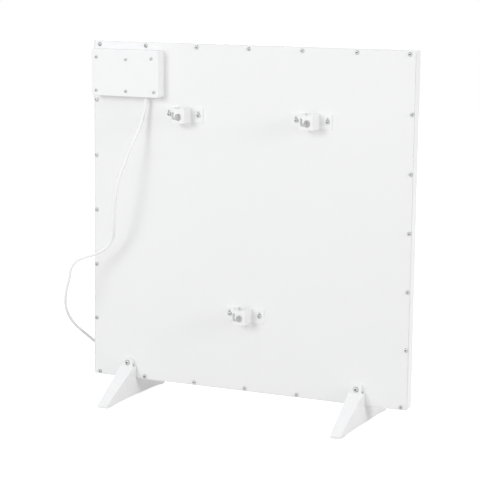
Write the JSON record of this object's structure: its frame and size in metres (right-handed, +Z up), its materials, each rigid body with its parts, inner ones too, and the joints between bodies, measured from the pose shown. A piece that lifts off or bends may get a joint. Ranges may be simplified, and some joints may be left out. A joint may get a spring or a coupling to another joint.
{
  "type": "infrared panel heater",
  "caption": "Slim square infrared heating panel on two screwed-on feet, with keyhole wall hooks and a connection box with mains lead on its back.",
  "frame": {"origin": "on the floor under the middle of the panel", "axes": "+X to the right seen from behind, +Y out of the heating face, +Z up; the panel's middle plane is Y = 0"},
  "size_m": [0.6363, 0.343, 0.637],
  "materials": {
    "white_enamel": "satin white powder coat",
    "white_plate": "fine matt white powder coat",
    "white_plastic": "smooth matt moulding",
    "white_sheath": "smooth flexible sheath",
    "zinc": "bright zinc plating",
    "brass": "plain",
    "copper": "plain copper",
    "aluminium": "bright foil",
    "carbon": "black film with carbon print",
    "wool": "pressed mineral wool",
    "rubber": "black rubber",
    "ceramic": "off-white heat-proof moulding",
    "brown_wire": "brown insulation",
    "blue_wire": "blue insulation",
    "earth_wire": "green and yellow insulation",
    "strap": "light woven strap",
    "silicone": "red-brown silicone sleeve"
  },
  "bodies": {
    "root": {"front_pan": "white_enamel", "heating_film": "carbon", "bus_bar_left": "copper", "bus_bar_right": "copper", "reflector_foil": "aluminium", "insulation_board": "wool", "back_plate": "white_plate", "hook_nut_1": "zinc", "hook_nut_2": "zinc", "hook_nut_3": "zinc", "hook_nut_4": "zinc", "hook_nut_5": "zinc", "hook_nut_6": "zinc", "foot_nut_1": "zinc", "foot_nut_2": "zinc", "wall_hook_upper_left": "white_enamel", "wall_hook_upper_right": "white_enamel", "wall_hook_lower": "white_enamel", "hook_screw_1": "zinc", "hook_screw_2": "zinc", "hook_screw_3": "zinc", "hook_screw_4": "zinc", "hook_screw_5": "zinc", "hook_screw_6": "zinc", "foot_left": "white_plastic", "foot_right": "white_plastic", "foot_screw_1": "zinc", "foot_screw_2": "zinc", "box_base": "white_plastic", "box_cover": "white_plastic", "cover_screw_1": "zinc", "cover_screw_2": "zinc", "cover_screw_3": "zinc", "cover_screw_4": "zinc", "cover_screw_5": "zinc", "cover_screw_6": "zinc", "cord_bush": "white_plastic", "cord_tail": "white_sheath", "cord_clamp": "white_plastic", "clamp_screw_1": "zinc", "clamp_screw_2": "zinc", "terminal_block": "ceramic", "terminal_pole_live": "brass", "terminal_pole_neutral": "brass", "lead_grommet": "rubber", "earth_stud": "zinc", "earth_tongue": "zinc", "earth_nut": "zinc", "thermal_cutout": "rubber", "core_live": "brown_wire", "core_neutral": "blue_wire", "core_earth": "earth_wire", "lead_live": "silicone", "lead_cutout": "silicone", "lead_neutral": "silicone", "power_cord": "white_sheath", "cord_coil": "white_sheath", "cord_end": "white_sheath", "cord_tie": "strap", "plug": "white_plastic"}
  },
  "joints": []
}
